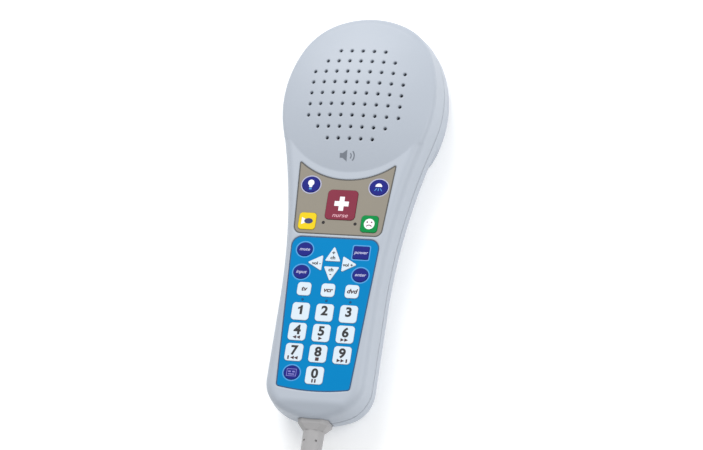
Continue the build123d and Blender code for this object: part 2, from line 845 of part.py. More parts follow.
with BuildPart() as strain_relief:
    with BuildSketch(across(relief_flange_start)):
        RectangleRounded(*relief_flange)
    extrude(amount=relief_flange_thick)
    with BuildSketch(across(relief_flange_start)):
        Circle(relief_neck_r)
    extrude(amount=relief_flange_start - collar_start)
    with BuildSketch(across(collar_start)):
        add(octagon(collar, 0))
    extrude(amount=collar_length)
    with BuildSketch(across(collar_start - collar_length)):
        add(octagon(collar, 0))
    with BuildSketch(across(sleeve_start)):
        add(octagon(nose, 0))
    loft()
    with BuildSketch(across(sleeve_start)):
        Circle(sleeve_r)
    with BuildSketch(across(sleeve_end)):
        Circle(sleeve_end_r)
    loft()
    for row in range(vent_rows):
        for vent in range(vent_count):
            around = radians((vent + (row + 1) % 2 / 2) * 360 / vent_count)
            out = (sin(around), 0, cos(around))
            place = along(vent_start - row * vent_pitch)
            rim = (sleeve_r * out[0], place, seam_z + sleeve_r * out[2])
            with BuildSketch(Plane(rim, z_dir=out)):
                Circle(vent_r)
            extrude(amount=-vent_depth, mode=Mode.SUBTRACT)
save(strain_relief.part, "strain_relief")


# Cord, its coil and its plug --------------------------------------------------------------------

def cord_tube(points):
    """A tube along straight runs, joined by arcs as large as the runs allow."""
    places = [Vector(*point) for point in points]
    runs = [end - start for start, end in zip(places, places[1:])]
    radii = []
    for before, after in zip(runs, runs[1:]):
        shorter = min(before.length, after.length)
        radii.append(0.45 * shorter / tan(radians(before.get_angle(after)) / 2))
    with BuildPart() as tube:
        with BuildLine() as path:
            FilletPolyline(*points, radius=radii)
        with BuildSketch(Plane(path.line @ 0, z_dir=path.line % 0)):
            Circle(cord_r)
        sweep()
    length_along = sum(edge.length for edge in path.edges())
    ratio = tube.part.volume / (length_along * pi * cord_r**2)
    print("cord", round(length_along), "radii", [round(r) for r in radii], "volume", round(ratio, 4))
    return tube.part


layer = coil_rows * cord_r
coil_half = coil_columns * cord_r
coil_bottom = tie_thick
lower_turn_z = coil_bottom + cord_r
upper_turn_z = lower_turn_z + 2 * cord_r
outer_turn_r = coil_mean_r + (coil_columns - 1) * cord_r
cord_route = (
    (0.0, along(sleeve_end), seam_z),
    (0.0, -175.0, seam_z),
    (3.4, -196.0, 7.0),
    (12.5, -216.5, 3.4),
    (26.5, -235.0, 3.5),
    (37.0, -253.5, 3.8),
    (coil_centre[0] + outer_turn_r, coil_centre[1], lower_turn_z),
)
tail_route = (
    (coil_centre[0] - outer_turn_r, coil_centre[1], upper_turn_z),
    (-61.6, -256.0, 9.7),
    (plug_x, -240.5, plug_r),
    (plug_x, plug_start, plug_r),
)
cord = cord_tube(cord_route)
save(cord, "cord")
cord_tail = cord_tube(tail_route)
save(cord_tail, "cord_tail")

with BuildPart() as cord_coil:
    with BuildSketch(Plane.XY.offset(coil_bottom)):
        with Locations(coil_centre):
            Circle(coil_mean_r + coil_half)
            Circle(coil_mean_r - coil_half, mode=Mode.SUBTRACT)
    extrude(amount=2 * layer)
    add(cord, mode=Mode.SUBTRACT)
    add(cord_tail, mode=Mode.SUBTRACT)
save(cord_coil.part, "cord_coil")

tie_direction = (cos(radians(tie_angle)), sin(radians(tie_angle)), 0)
tie_across = (-tie_direction[1], tie_direction[0], 0)
tie_turn = degrees(tie_width / coil_mean_r)
with BuildPart() as coil_tie:
    with BuildSketch(Plane((*coil_centre, 0), x_dir=tie_direction, z_dir=tie_across)):
        with Locations((coil_mean_r, -(tie_thick + layer))):
            RectangleRounded(2 * (coil_half + tie_thick), 2 * (layer + tie_thick), 2)
            Rectangle(2 * coil_half + 0.1, 2 * layer + 0.1, mode=Mode.SUBTRACT)
    revolve(axis=Axis((*coil_centre, 0), (0, 0, 1)), revolution_arc=tie_turn)
save(coil_tie.part, "coil_tie")


def ahead(distance):
    """A plane square to the plug's axis, at a distance from the end of the cord's tail."""
    return Plane((plug_x, plug_start + distance, plug_r), x_dir=(1, 0, 0), z_dir=(0, 1, 0))


plug_face = plug_boot_length + plug_length
with BuildPart() as plug_body:
    with BuildSketch(ahead(0)):
        Circle(cord_r + 0.8)
    with BuildSketch(ahead(plug_boot_length)):
        Circle(plug_boot_end_r)
    loft()
    with BuildSketch(ahead(plug_boot_length)):
        Circle(plug_r)
    extrude(amount=plug_length)
    fillet(plug_body.edges().filter_by(GeomType.CIRCLE).group_by(SortBy.RADIUS)[-1], 1)
    for groove in range(plug_grooves):
        with BuildSketch(ahead(plug_boot_length + 6 + groove * 3)):
            Circle(plug_r + 1)
            Circle(plug_r - 0.6, mode=Mode.SUBTRACT)
        extrude(amount=1.2, mode=Mode.SUBTRACT)
save(plug_body.part, "plug_body")

with BuildPart() as plug_shell:
    with BuildSketch(ahead(plug_face)):
        Circle(plug_shell_r)
        Circle(plug_bore_r, mode=Mode.SUBTRACT)
    extrude(amount=plug_shell_length)
save(plug_shell.part, "plug_shell")

with BuildSketch() as pin_places:
    with PolarLocations(plug_pin_circle, plug_pin_count):
        Circle(plug_pin_r)

with BuildPart() as plug_insert:
    with BuildSketch(ahead(plug_face)):
        Circle(plug_bore_r)
        add(pin_places.sketch, mode=Mode.SUBTRACT)
    extrude(amount=plug_insert_length)
save(plug_insert.part, "plug_insert")

with BuildPart() as plug_pins:
    with BuildSketch(ahead(plug_face)):
        add(pin_places.sketch)
    extrude(amount=plug_shell_length - 1)
save(plug_pins.part, "plug_pins")
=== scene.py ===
import json
from math import asin, cos, pi, radians, sin, sqrt

import bpy
from mathutils import Matrix, Vector


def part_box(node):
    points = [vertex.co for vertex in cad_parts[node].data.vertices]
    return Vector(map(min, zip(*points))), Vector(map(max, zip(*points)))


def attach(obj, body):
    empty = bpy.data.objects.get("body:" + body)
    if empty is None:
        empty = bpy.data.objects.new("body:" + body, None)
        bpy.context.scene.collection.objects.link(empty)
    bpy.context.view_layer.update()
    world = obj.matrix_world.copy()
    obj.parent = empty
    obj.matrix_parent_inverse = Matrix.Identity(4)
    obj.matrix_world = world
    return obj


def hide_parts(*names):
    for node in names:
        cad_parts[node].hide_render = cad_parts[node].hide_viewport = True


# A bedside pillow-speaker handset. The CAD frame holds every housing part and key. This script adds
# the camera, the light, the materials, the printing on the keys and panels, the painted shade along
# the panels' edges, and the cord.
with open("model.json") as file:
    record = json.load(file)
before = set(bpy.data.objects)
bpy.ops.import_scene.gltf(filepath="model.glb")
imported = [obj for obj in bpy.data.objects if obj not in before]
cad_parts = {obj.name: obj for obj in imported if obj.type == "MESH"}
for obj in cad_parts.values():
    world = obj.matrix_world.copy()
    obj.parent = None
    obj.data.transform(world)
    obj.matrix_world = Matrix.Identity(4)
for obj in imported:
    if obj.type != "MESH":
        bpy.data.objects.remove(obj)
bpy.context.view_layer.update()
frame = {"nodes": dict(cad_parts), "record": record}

MM = 0.001
HOUSING = "handset"
front_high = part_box("front_cover")[1]
upper_low, upper_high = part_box("upper_overlay")
lower_low, lower_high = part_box("lower_overlay")
overlay_z = upper_high[2]
cloth_low, cloth_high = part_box("acoustic_cloth")
grille = Vector(((cloth_low[0] + cloth_high[0]) / 2, (cloth_low[1] + cloth_high[1]) / 2))
INK = 0.012 * MM  # thickness of the printing

# ---------------------------------------------------------------- materials

ROUGHNESS_SPREAD = 0.06  # how far a surface's roughness strays each way
GRAIN_DEPTH = 0.05 * MM
WEAVE_DEPTH = 0.2 * MM
WAVE_PERIOD = 0.31  # distance between the bands of a wave texture at scale 1
EDGE_SOFTNESS = 1.3 * MM  # radius of the housing's moulded edges


def linear(red, green, blue):
    """A colour given as 0 to 255 screen values, as the shader's linear ones."""
    values = []
    for value in (red, green, blue):
        v = value / 255
        values.append(v / 12.92 if v <= 0.04045 else ((v + 0.055) / 1.055) ** 2.4)
    return (*values, 1.0)


def shaded(color, factor):
    """A colour made lighter or darker."""
    return (*[min(1.0, c * factor) for c in color[:3]], 1.0)


def material(name, color, roughness, grain=0.0, grain_size=0.4, mottle=0.04, metallic=0.0,
             coat=0.0, specular=0.5, blotch_size=14.0):
    """Moulded, printed or metal surface: faint blotches in its colour, and a fine grain."""
    made = bpy.data.materials.new(name)
    made.use_nodes = True
    nodes, links = made.node_tree.nodes, made.node_tree.links
    shader = nodes["Principled BSDF"]
    shader.inputs["Metallic"].default_value = metallic
    shader.inputs["Coat Weight"].default_value = coat
    shader.inputs["Specular IOR Level"].default_value = specular
    place = nodes.new("ShaderNodeTexCoord")
    blotches = nodes.new("ShaderNodeTexNoise")
    blotches.inputs["Scale"].default_value = 1 / (blotch_size * MM)
    blotches.inputs["Detail"].default_value = 3
    links.new(place.outputs["Object"], blotches.inputs["Vector"])
    tint = nodes.new("ShaderNodeMix")
    tint.data_type = "RGBA"
    tint.inputs["A"].default_value = shaded(color, 1 - mottle)
    tint.inputs["B"].default_value = shaded(color, 1 + mottle)
    links.new(blotches.outputs["Fac"], tint.inputs["Factor"])
    links.new(tint.outputs["Result"], shader.inputs["Base Color"])
    speckle = nodes.new("ShaderNodeTexNoise")
    speckle.inputs["Scale"].default_value = 1 / (grain_size * MM)
    speckle.inputs["Detail"].default_value = 4
    links.new(place.outputs["Object"], speckle.inputs["Vector"])
    dull = nodes.new("ShaderNodeMapRange")
    dull.inputs["To Min"].default_value = max(0.02, roughness - ROUGHNESS_SPREAD)
    dull.inputs["To Max"].default_value = min(1.0, roughness + ROUGHNESS_SPREAD)
    links.new(speckle.outputs["Fac"], dull.inputs["Value"])
    links.new(dull.outputs["Result"], shader.inputs["Roughness"])
    if grain:
        bump = nodes.new("ShaderNodeBump")
        bump.inputs["Strength"].default_value = grain
        bump.inputs["Distance"].default_value = GRAIN_DEPTH
        links.new(speckle.outputs["Fac"], bump.inputs["Height"])
        links.new(bump.outputs["Normal"], shader.inputs["Normal"])
    return made


def soften_edges(made, radius):
    """Rounds a material's sharp edges in the shading, as moulding does."""
    tree = made.node_tree
    edges = tree.nodes.new("ShaderNodeBevel")
    edges.samples = 8
    edges.inputs["Radius"].default_value = radius
    bump = next(node for node in tree.nodes if node.type == "BUMP")
    tree.links.new(edges.outputs["Normal"], bump.inputs["Normal"])


def woven(name, color, pitch):
    """Cloth: two crossed sets of threads in relief, over a faintly blotched colour."""
    made = material(name, color, 0.9, mottle=0.15)
    nodes, links = made.node_tree.nodes, made.node_tree.links
    shader = nodes["Principled BSDF"]
    place = nodes.new("ShaderNodeTexCoord")
    height = None
    for direction in ("X", "Y"):
        threads = nodes.new("ShaderNodeTexWave")
        threads.bands_direction = direction
        threads.inputs["Scale"].default_value = WAVE_PERIOD / pitch
        links.new(place.outputs["Object"], threads.inputs["Vector"])
        if height is None:
            height = threads.outputs["Fac"]
        else:
            both = nodes.new("ShaderNodeMath")
            both.operation = "MAXIMUM"
            links.new(height, both.inputs[0])
            links.new(threads.outputs["Fac"], both.inputs[1])
            height = both.outputs["Value"]
    bump = nodes.new("ShaderNodeBump")
    bump.inputs["Strength"].default_value = 0.8
    bump.inputs["Distance"].default_value = WEAVE_DEPTH
    links.new(height, bump.inputs["Height"])
    links.new(bump.outputs["Normal"], shader.inputs["Normal"])
    return made


slot_materials = {
    "housing": material("housing_plastic", linear(181, 188, 198), 0.42, grain=0.10, mottle=0.015,
                        specular=0.4),
    "seal": material("seal_rubber", linear(150, 156, 162), 0.6, grain=0.1),
    "overlay_upper": material("tan_film", linear(148, 141, 128), 0.45, grain=0.15, mottle=0.03,
                              specular=0.2),
    "overlay_lower": material("blue_film", linear(0, 131, 193), 0.45, grain=0.15, mottle=0.03,
                              specular=0.06),
    "key_navy": material("navy_silicone", linear(30, 36, 130), 0.45, grain=0.15, mottle=0.06,
                         specular=0.12),
    "key_white": material("white_silicone", linear(217, 230, 240), 0.5, grain=0.12, mottle=0.015),
    "key_maroon": material("maroon_silicone", linear(134, 44, 66), 0.5, grain=0.2, mottle=0.06,
                           specular=0.2),
    "key_yellow": material("yellow_silicone", linear(240, 208, 18), 0.5, grain=0.12, mottle=0.03,
                           specular=0.2),
    "key_green": material("green_silicone", linear(0, 142, 70), 0.5, grain=0.12, mottle=0.04,
                          specular=0.12),
    "lamp": material("dark_lens", linear(28, 20, 22), 0.15, coat=0.5),
    "lamp_blue": material("blue_lens", linear(0, 78, 128), 0.2, coat=0.4, specular=0.3),
    "dome_metal": material("dome_steel", linear(200, 196, 186), 0.3, metallic=1.0),
    "board": material("solder_mask", linear(24, 96, 56), 0.35, grain=0.1, mottle=0.12),
    "chip": material("chip_epoxy", linear(34, 34, 36), 0.6, grain=0.3),
    "header": material("nylon", linear(236, 230, 214), 0.5, grain=0.1),
    "speaker_steel": material("black_paint", linear(40, 40, 42), 0.45, grain=0.25),
    "magnet": material("ferrite", linear(62, 62, 66), 0.7, grain=0.6, mottle=0.2),
    "cone": material("cone_paper", linear(36, 35, 34), 0.85, grain=0.8, mottle=0.15),
    "coil_wire": material("copper", linear(196, 120, 74), 0.35, metallic=1.0),
    "foam": material("gasket_foam", linear(34, 34, 35), 0.95, grain=1.0, grain_size=0.6,
                     mottle=0.2),
    "cloth": woven("acoustic_cloth_weave", linear(30, 31, 34), 0.5 * MM),
    "wire": material("wire_insulation", linear(176, 44, 38), 0.45, grain=0.1),
    "screw_steel": material("zinc", linear(190, 190, 192), 0.35, grain=0.3, metallic=1.0),
    "relief": material("relief_pvc", linear(172, 170, 170), 0.5, grain=0.15, mottle=0.03),
    "cord_jacket": material("jacket_pvc", linear(176, 176, 177), 0.42, grain=0.08, mottle=0.03),
    "plug_plastic": material("plug_pvc", linear(168, 168, 170), 0.5, grain=0.2, mottle=0.04),
    "plug_metal": material("nickel", linear(214, 212, 206), 0.2, metallic=1.0, mottle=0.05),
    "insert": material("insert_nylon", linear(30, 30, 32), 0.5, grain=0.2),
    "pin_brass": material("gold_flash", linear(222, 186, 108), 0.25, metallic=1.0),
    "tie": woven("tie_weave", linear(42, 42, 46), 0.6 * MM),
    "label": material("label_film", linear(228, 229, 231), 0.4, grain=0.05, mottle=0.02),
}
soften_edges(slot_materials["housing"], EDGE_SOFTNESS)
ink_black = material("black_ink", linear(26, 26, 30), 0.5, grain=0.1)
ink_white = material("white_ink", linear(250, 250, 252), 0.5, grain=0.1, mottle=0.01)
ink_lilac = material("lilac_ink", linear(184, 186, 218), 0.5, grain=0.1, mottle=0.03)
ink_violet = material("violet_ink", linear(126, 122, 200), 0.5, grain=0.1, mottle=0.03)
ink_sky = material("sky_ink", linear(74, 156, 222), 0.5, grain=0.1, mottle=0.03)
ink_pink = material("pink_ink", linear(226, 170, 182), 0.5, grain=0.1, mottle=0.03)
ink_navy = material("navy_ink", linear(38, 42, 104), 0.5, grain=0.1)
ink_grey = material("grey_ink", linear(118, 124, 134), 0.5, grain=0.1, mottle=0.03)
# Painted shade: this umber ink draws the tan panel's edge line, which is print and also stands for
# the shadow in the gap round the panel.
umber_print_and_gap_shade = material("umber_ink_and_gap_shade", linear(84, 80, 74), 0.5, grain=0.1, mottle=0.03)
ink_brown = material("brown_ink", linear(58, 18, 24), 0.5, grain=0.1)
ink_wine = material("wine_ink", linear(120, 34, 74), 0.5, grain=0.1, mottle=0.03)
# Painted shade: this deep blue ink draws the blue panel's edge line, which is print and also stands
# for the shadow in the gap round the panel.
deep_blue_print_and_gap_shade = material("deep_blue_ink_and_gap_shade", linear(0, 82, 130), 0.5, grain=0.1, mottle=0.03)

slot_of = {s["node"]: s["material_slot"] for s in frame["record"]["subparts"]}
for node, obj in frame["nodes"].items():
    obj.data.materials.clear()
    obj.data.materials.append(slot_materials[slot_of[node]])

# ---------------------------------------------------------------- printing, and painted shade along the panels' edges

SIZE_PER_HEIGHT = 1.4  # font size that makes lettering of height 1


def key_top(name):
    """(centre x, centre y, top z) of a key."""
    low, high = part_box(f"key_{name}")
    return (low[0] + high[0]) / 2, (low[1] + high[1]) / 2, high[2]


def placed(piece, body, finish):
    """Finishes a piece: its material and its body."""
    piece.data.materials.clear()
    piece.data.materials.append(finish)
    bpy.context.scene.collection.objects.link(piece)
    bpy.context.view_layer.update()
    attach(piece, body)
    return piece


def lettering(name, words, centre, z, height, ink_material, body, bold=0.0, slant=0.0,
              wide=1.0):
    """A word or a digit, printed flat."""
    text = bpy.data.curves.new(name, "FONT")
    text.body = words
    text.size = height * SIZE_PER_HEIGHT
    text.offset = bold
    text.shear = slant
    text.extrude = INK / 2
    text.align_x = "CENTER"
    text.align_y = "CENTER"
    text.resolution_u = 6
    piece = bpy.data.objects.new(name, text)
    piece.location = (centre[0], centre[1], z + INK / 2)
    piece.scale = (wide, 1, 1)
    return placed(piece, body, ink_material)


def shape(name, outlines, z, ink_material, body, place=(0, 0), tilt=0.0):
    """Filled outlines, printed flat. An outline inside another one is a hole in it."""
    curve = bpy.data.curves.new(name, "CURVE")
    curve.dimensions = "2D"
    curve.fill_mode = "BOTH"
    curve.extrude = INK / 2
    for points in outlines:
        spline = curve.splines.new("POLY")
        spline.points.add(len(points) - 1)
        for target, point in zip(spline.points, points):
            target.co = (point[0], point[1], 0, 1)
        spline.use_cyclic_u = True
    piece = bpy.data.objects.new(name, curve)
    piece.location = (*place, z + INK / 2)
    piece.rotation_euler = (tilt, 0, 0)
    return placed(piece, body, ink_material)


def oval(centre, half_x, half_y, count=64):
    """Points round an ellipse."""
    angles = [2 * pi * i / count for i in range(count)]
    return [(centre[0] + half_x * cos(a), centre[1] + half_y * sin(a)) for a in angles]


def disc(centre, radius, start=0.0, sweep=360.0, count=40):
    """Points round a circle, or along an arc of it."""
    steps = count if sweep == 360.0 else count + 1
    angles = [radians(start + sweep * i / count) for i in range(steps)]
    return [(centre[0] + radius * cos(a), centre[1] + radius * sin(a)) for a in angles]


def band(centre, inner, outer, start, sweep):
    """An arc with a width."""
    return disc(centre, outer, start, sweep) + disc(centre, inner, start, sweep)[::-1]


def rectangle(centre, width, height):
    """A rectangle's corners."""
    x, y = centre
    w, h = width / 2, height / 2
    return [(x - w, y - h), (x + w, y - h), (x + w, y + h), (x - w, y + h)]


def rounded(corners, radii, count=10):
    """An outline with its corners rounded."""
    points = []
    for index, (corner, radius) in enumerate(zip(corners, radii)):
        if not radius:
            points.append(corner)
            continue
        here = Vector(corner)
        back = (Vector(corners[index - 1]) - here).normalized()
        ahead = (Vector(corners[(index + 1) % len(corners)]) - here).normalized()
        half = back.angle(ahead) / 2
        reach = radius / sin(half)
        centre = here + (back + ahead).normalized() * reach
        first = here + back * (radius / (sin(half) / cos(half))) - centre
        last = here + ahead * (radius / (sin(half) / cos(half))) - centre
        turn = first.angle_signed(last)
        for step in range(count + 1):
            points.append(tuple(centre + Matrix.Rotation(-turn * step / count, 2) @ first))
    return points


def moved(points, amount):
    """A closed outline moved by an amount to the left of its own direction."""
    result = []
    for index, point in enumerate(points):
        before = Vector(point) - Vector(points[index - 1])
        after = Vector(points[(index + 1) % len(points)]) - Vector(point)
        along = (before.normalized() + after.normalized()).normalized()
        result.append((point[0] - along.y * amount, point[1] + along.x * amount))
    return result


def key_body(name):
    """The body that a key's printing rides on."""
    return f"key_{name}_cap"


def print_digits():
    """The digits, with the transport signs that are under some of them."""
    digit_height, digit_raise, digit_bold = 4.75 * MM, 0.75 * MM, 0.25 * MM
    sign_drop, sign_pitch, bars_pitch = 2.9 * MM, 2.05 * MM, 1.5 * MM
    half_w, half_h = 1.0 * MM, 0.95 * MM  # of a sign's arrow
    bar, block = (0.8 * MM, 2 * half_h), (1.9 * MM, 1.8 * MM)
    left, right = "left", "right"
    signs = {
        "4": (left, left), "5": (right,), "6": (right, right), "7": ("bar", left, left),
        "8": ("block",), "9": (right, right, "bar"), "0": ("bar", "bar"),
    }
    nudge = {"7": -0.5 * MM, "9": 0.7 * MM}  # signs that stand off their key's middle
    for digit in "1234567890":
        x, y, z = key_top(digit)
        body = key_body(digit)
        if digit == "1":
            stroke = [(-0.3, -1.65), (1.0, -1.65), (1.0, 3.15), (0.1, 3.15), (-0.45, 2.4),
                      (-1.45, 1.95), (-1.45, 0.95), (-0.3, 1.4)]
            shape("legend_1", [[(x + a * MM, y + b * MM) for a, b in stroke]], z, ink_black, body)
        else:
            lettering(f"legend_{digit}", digit, (x, y + digit_raise), z, digit_height, ink_black,
                      body, bold=digit_bold, wide=1.08)
        row = signs.get(digit, ())
        step = bars_pitch if digit == "0" else sign_pitch
        sign_y = y - sign_drop
        outlines = []
        for place, sign in enumerate(row):
            sign_x = x + nudge.get(digit, 0) + (place - (len(row) - 1) / 2) * step
            if sign == "bar":
                outlines.append(rectangle((sign_x, sign_y), *bar))
            elif sign == "block":
                outlines.append(rectangle((sign_x, sign_y), *block))
            else:
                tip = half_w if sign == right else -half_w
                outlines.append([(sign_x - tip, sign_y - half_h), (sign_x + tip, sign_y),
                                 (sign_x - tip, sign_y + half_h)])
        if outlines:
            shape(f"sign_{digit}", outlines, z, ink_brown, body)


def print_words():
    """The generic function words on the small keys and the arrows."""
    for word in ("mute", "input", "enter", "power"):
        x, y, z = key_top(word)
        lettering(f"legend_{word}", word, (x, y), z, 1.65 * MM, ink_lilac, key_body(word),
                  bold=0.05 * MM, slant=0.25, wide=1.15)
    dark = {"tv": "tv", "tape": "vcr", "disc": "dvd"}
    for name, word in dark.items():
        x, y, z = key_top(name)
        lettering(f"legend_{name}", word, (x, y), z, 2.35 * MM, ink_brown, key_body(name),
                  bold=0.12 * MM, slant=0.2, wide=1.12)
    # Word, offset across and along the key and height of each mark, in millimetres
    arrows = {
        "channel_up": (("+", 0, 0.6, 2.0), ("ch", 0, -1.9, 1.8)),
        "channel_down": (("ch", 0, 1.9, 1.8), ("-", 0, -0.4, 2.0)),
        "volume_down": (("vol -", 0.7, -0.35, 1.6),),
        "volume_up": (("vol +", -0.45, -0.5, 1.6),),
    }
    for name, marks in arrows.items():
        x, y, z = key_top(name)
        for number, (word, dx, dy, height) in enumerate(marks):
            lettering(f"legend_{name}_{number}", word, (x + dx * MM, y + dy * MM), z, height * MM,
                      ink_black, key_body(name), bold=0.09 * MM, wide=1.15)


def print_signs():
    """The pictograms of the call, light and caption keys."""
    # A cross, over the word
    x, y, z = key_top("nurse")
    arm, half = 1.3 * MM, 3.8 * MM  # half an arm's width, and half the cross
    cross_raise, word_drop = 0.6 * MM, 5.7 * MM
    cross = [(-half, -arm), (-arm, -arm), (-arm, -half), (arm, -half), (arm, -arm), (half, -arm),
             (half, arm), (arm, arm), (arm, half), (-arm, half), (-arm, arm), (-half, arm)]
    shape("sign_nurse", [[(x + a, y + cross_raise + b) for a, b in cross]], z, ink_white,
          key_body("nurse"))
    lettering("legend_nurse", "nurse", (x, y - word_drop), z, 2.2 * MM, ink_pink,
              key_body("nurse"), bold=0.03 * MM, slant=0.25, wide=1.2)

    # A sad face
    x, y, z = key_top("pain")
    mouth = band((x, y - 2.2 * MM), 1.35 * MM, 1.85 * MM, 30, 120)
    eyes = [disc((x + side * 1.15 * MM, y + 0.95 * MM), 0.45 * MM) for side in (-1, 1)]
    shape("sign_pain", [disc((x, y), 2.8 * MM)], z, ink_white, key_body("pain"))
    shape("sign_pain_face", [mouth, *eyes], z + INK, ink_wine, key_body("pain"))

    # A torch and its beam
    x, y, z = key_top("lamp")
    beam = [(-3.0, 1.9), (-3.0, -1.9), (-0.9, -0.9), (-0.9, 0.9)]
    shape("sign_lamp_beam", [[(x + a * MM, y + b * MM) for a, b in beam]], z, ink_white,
          key_body("lamp"))
    torch = oval((x + 0.75 * MM, y), 2.3 * MM, 1.45 * MM)
    shape("sign_lamp", [torch], z + INK, ink_navy, key_body("lamp"))

    # A bulb and its cap
    x, y, z = key_top("reading_light")
    glass = disc((x, y + 0.9 * MM), 1.65 * MM, -60, 300)
    stem = [(x - 0.75 * MM, y - 1.5 * MM), (x + 0.75 * MM, y - 1.5 * MM)]
    shape("sign_reading_light", [glass + stem], z, ink_white, key_body("reading_light"))
    shape("sign_reading_light_cap", [rectangle((x, y - 2.3 * MM), 1.3 * MM, 0.9 * MM)], z, ink_sky,
          key_body("reading_light"))

    # A hood lamp and its rays
    x, y, z = key_top("room_light")
    hood = disc((x, y + 0.35 * MM), 1.8 * MM, 0, 180)
    shape("sign_room_light", [hood], z, ink_white, key_body("room_light"))
    rays = []
    ray_half = 0.22 * MM
    for lean in (-1, 0, 1):
        top_x, foot_x = x + lean * 0.9 * MM, x + lean * 1.9 * MM
        top_y, foot_y = y - 0.5 * MM, y - 1.9 * MM
        rays.append([(top_x - ray_half, top_y), (foot_x - ray_half, foot_y),
                     (foot_x + ray_half, foot_y), (top_x + ray_half, top_y)])
    shape("sign_room_light_rays", rays, z, ink_sky, key_body("room_light"))

    # A screen with lines of words in it
    x, y, z = key_top("captions")
    screen = [rectangle((x, y), 5.2 * MM, 3.9 * MM), rectangle((x, y), 4.6 * MM, 3.3 * MM)]
    words = [rectangle((x + side * 1.05 * MM, y + 0.45 * MM), 1.4 * MM, 0.8 * MM)
             for side in (-1, 1)]
    words.append(rectangle((x, y - 0.85 * MM), 3.3 * MM, 0.55 * MM))
    shape("sign_captions", screen + words, z, ink_violet, key_body("captions"))


def print_rings():
    """The pale rings on the panels, round the dark keys."""
    inset = 0.15 * MM  # from the edge of a key's flange to the inside of its ring
    on_tan = ("overlay_upper", ink_lilac, 0.5 * MM)
    on_blue = ("overlay_lower", ink_sky, 0.6 * MM)
    rings = {
        "reading_light": on_tan, "room_light": on_tan, "mute": on_blue, "input": on_blue,
        "enter": on_blue, "captions": on_blue,
    }
    for name, (slot, ring_ink, width) in rings.items():
        low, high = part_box(f"key_{name}")
        x, y, _ = key_top(name)
        half_x, half_y = (high[0] - low[0]) / 2 - inset, (high[1] - low[1]) / 2 - inset
        outer = oval((x, y), half_x + width, half_y + width)
        shape(f"ring_{name}", [outer, oval((x, y), half_x, half_y)], overlay_z, ring_ink, HOUSING)
    low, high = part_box("key_power")
    x, y, _ = key_top("power")
    w, h = high[0] - low[0] - 2 * inset, high[1] - low[1] - 2 * inset
    width, inner_r, outer_r = 0.55 * MM, 0.7 * MM, 1.1 * MM
    inner = rounded(rectangle((x, y), w, h), [inner_r] * 4)
    outer = rounded(rectangle((x, y), w + 2 * width, h + 2 * width), [outer_r] * 4)
    shape("ring_power", [outer, inner], overlay_z, ink_sky, HOUSING)


def bowed(left, right, sag, count=30):
    """Points between two level ends, along an arc that bows down by an amount."""
    span = (right[0] - left[0]) / 2
    radius = (span**2 + sag**2) / (2 * sag)
    reach = asin(span / radius)
    angles = [reach * (2 * i / count - 1) for i in range(1, count)]
    centre = ((left[0] + right[0]) / 2, left[1] - sag + radius)
    return [(centre[0] + radius * sin(a), centre[1] - radius * cos(a)) for a in angles]


def print_borders_and_gap_shade():
    """The dark line along the edge of each panel: print, and painted shade of the gap round the
    panel.
    """
    # Painted shade: one even dark line along each panel's edge, in place of the shadow in the gap
    # round it.
    line = 0.45 * MM
    tip_x, tip_rise, tip_r = 25.8 * MM, 39 * MM, 0.5 * MM
    foot_x, foot_r = 23.3 * MM, 3.8 * MM
    tips = [(-tip_x, upper_low[1] + tip_rise), (tip_x, upper_low[1] + tip_rise)]
    arc = bowed(*tips, 9.3 * MM)
    feet = [(foot_x, upper_low[1]), (-foot_x, upper_low[1])]
    corners = [tips[0], *arc, tips[1], *feet]
    outline = rounded(corners, [tip_r] + [0] * len(arc) + [tip_r, foot_r, foot_r])
    shape("border_and_gap_shade_upper", [outline, moved(outline, -line)], overlay_z, umber_print_and_gap_shade, HOUSING)
    top_x, top_r = 23.5 * MM, 5 * MM
    foot_x, foot_r, sag = 19.3 * MM, 1.5 * MM, 1.7 * MM
    feet = [(-foot_x, lower_low[1] + sag), (foot_x, lower_low[1] + sag)]
    arc = bowed(*feet, sag)
    tops = [(top_x, lower_high[1]), (-top_x, lower_high[1])]
    corners = [feet[0], *arc, feet[1], *tops]
    outline = rounded(corners, [foot_r] + [0] * len(arc) + [foot_r, top_r, top_r])
    shape("border_and_gap_shade_lower", [outline, moved(outline, line)], overlay_z, deep_blue_print_and_gap_shade, HOUSING)


def print_mark():
    """A plain loudspeaker sign on the dome, between the grille and the upper panel."""
    dome_r = 127 * MM
    down = 33 * MM  # from the grille's centre
    above = 0.01 * MM
    centre_z = front_high[2] - dome_r
    height = sqrt(dome_r**2 - down**2) + above
    box = [(-4.3, -1.2), (-2.8, -1.2), (-0.5, -3.0), (-0.5, 3.0), (-2.8, 1.2), (-4.3, 1.2)]
    sign = [[(a * MM, b * MM) for a, b in box]]
    wave_half = 0.3 * MM
    for radius in (2.0 * MM, 3.6 * MM):
        sign.append(band((-0.2 * MM, 0), radius - wave_half, radius + wave_half, -42, 84))
    shape("sign_speaker", sign, centre_z + height, ink_grey, HOUSING,
          place=(0, grille.y - down), tilt=asin(down / dome_r))


print_digits()
print_words()
print_signs()
print_rings()
print_borders_and_gap_shade()
print_mark()

# ---------------------------------------------------------------- cord

CORD_R = 3.25 * MM
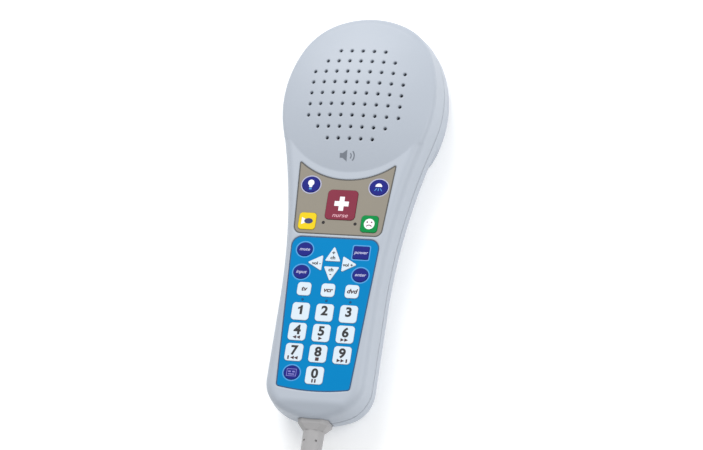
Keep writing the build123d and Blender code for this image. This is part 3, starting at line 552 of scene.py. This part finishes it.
# The cord's route, in metres: out of the sleeve and down to the coil, and from the coil to the plug
route = [
    (0.0, -0.1567, 0.0146), (0.0, -0.175, 0.0146), (0.0034, -0.196, 0.0070),
    (0.0125, -0.2165, 0.0034), (0.0265, -0.235, 0.0035), (0.037, -0.2535, 0.0038),
]
tail = [(-0.0616, -0.256, 0.0097), (-0.060, -0.2405, 0.0076), (-0.060, -0.226, 0.0076)]
coil_centre = Vector((-0.010, -0.272))
columns = 5  # turns beside each other in a layer
mean_r = 38 * MM
per_turn = 24
lower_z, upper_z = 3.95 * MM, 10.45 * MM  # heights of the two layers
turns = 8.5
step_in, step_out = (0.8, 1.0), (0.2, 0.45)  # parts of a turn in which it changes columns
climb = (columns - 0.5, columns - 0.12)  # turns between which it rises to the upper layer


def ease(value, start, end):
    """0 before start, 1 after end, and smooth between."""
    share = min(1.0, max(0.0, (value - start) / (end - start)))
    return share * share * (3 - 2 * share)


def coil_point(turn):
    """A point on the coil: turns inwards, a climb, and then turns outwards on top of them."""
    whole = int(turn)
    part = turn - whole
    outer = mean_r + (columns - 1) * CORD_R
    if turn < columns - 1:
        column = whole + ease(part, *step_in)
    elif turn < columns:
        column = columns - 1
    else:
        column = columns - 1 - (whole - columns) - ease(part, *step_out)
    radius = outer - 2 * CORD_R * column
    height = lower_z + (upper_z - lower_z) * ease(turn, *climb)
    angle = -2 * pi * turn
    swell = 1 / cos(pi / per_turn)  # the spline runs inside its control points
    spot = coil_centre + radius * swell * Vector((cos(angle), sin(angle)))
    return spot.x, spot.y, height


points = route + [coil_point(i / per_turn) for i in range(int(turns * per_turn) + 1)] + tail
line = bpy.data.curves.new("cord", "CURVE")
line.dimensions = "3D"
line.bevel_depth = CORD_R
line.bevel_resolution = 5
line.resolution_u = 5
line.use_fill_caps = True
spline = line.splines.new("NURBS")
spline.points.add(len(points) - 1)
for target, point in zip(spline.points, points):
    target.co = (*point, 1)
spline.order_u = 3
spline.use_endpoint_u = True
cord = bpy.data.objects.new("free_cord", line)
placed(cord, HOUSING, slot_materials["cord_jacket"])
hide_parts("cord", "cord_coil", "cord_tail")

# ---------------------------------------------------------------- floor, light and camera

floor_mesh = bpy.data.meshes.new("floor")
reach = 6.0
floor_corners = [(x, y, 0) for x, y in rectangle((0, 0), 2 * reach, 2 * reach)]
floor_mesh.from_pydata(floor_corners, [], [(0, 1, 2, 3)])
floor = bpy.data.objects.new("floor", floor_mesh)
floor.location.z = -0.02 * MM  # just clear of the handset's back
bpy.context.scene.collection.objects.link(floor)
paper = material("floor_paper", (0.95, 0.95, 0.95, 1.0), 0.9, mottle=0.002)
glow = paper.node_tree.nodes["Principled BSDF"].inputs
glow["Emission Color"].default_value = (1, 1, 1, 1)
glow["Emission Strength"].default_value = 0.22
floor.data.materials.append(paper)

world = bpy.data.worlds.new("studio")
bpy.context.scene.world = world
world.use_nodes = True
world.node_tree.nodes["Background"].inputs["Color"].default_value = (0.96, 0.98, 1.0, 1)
world.node_tree.nodes["Background"].inputs["Strength"].default_value = 0.62


def soft_light(name, place, aim, size, power, color=(1, 1, 1)):
    """A square soft box."""
    light = bpy.data.lights.new(name, "AREA")
    light.shape = "SQUARE"
    light.size = size
    light.energy = power
    light.color = color
    lamp = bpy.data.objects.new(name, light)
    lamp.location = place
    lamp.rotation_euler = (Vector(aim) - Vector(place)).to_track_quat("-Z", "Y").to_euler()
    bpy.context.scene.collection.objects.link(lamp)


soft_light("key_light", (-0.5, 1.0, 1.1), (0, 0, 0), 0.9, 13)
soft_light("fill_light", (1.0, 0.1, 0.9), (0, 0, 0), 0.8, 5)

camera_data = bpy.data.cameras.new("camera")
camera_data.sensor_width = 36
camera_data.lens = 130.3
camera = bpy.data.objects.new("camera", camera_data)
right = Vector((0.9501, 0.1480, -0.2747)).normalized()
forward = Vector((-0.3081, 0.3053, -0.9010)).normalized()
up = right.cross(forward).normalized()
turned = Matrix((right, up, -forward)).transposed().to_4x4()
camera_place = (0.4040, -0.4006, 1.1886)
camera.matrix_world = Matrix.Translation(camera_place) @ turned
bpy.context.scene.collection.objects.link(camera)
bpy.context.scene.camera = camera
bpy.context.scene.view_settings.view_transform = "Standard"
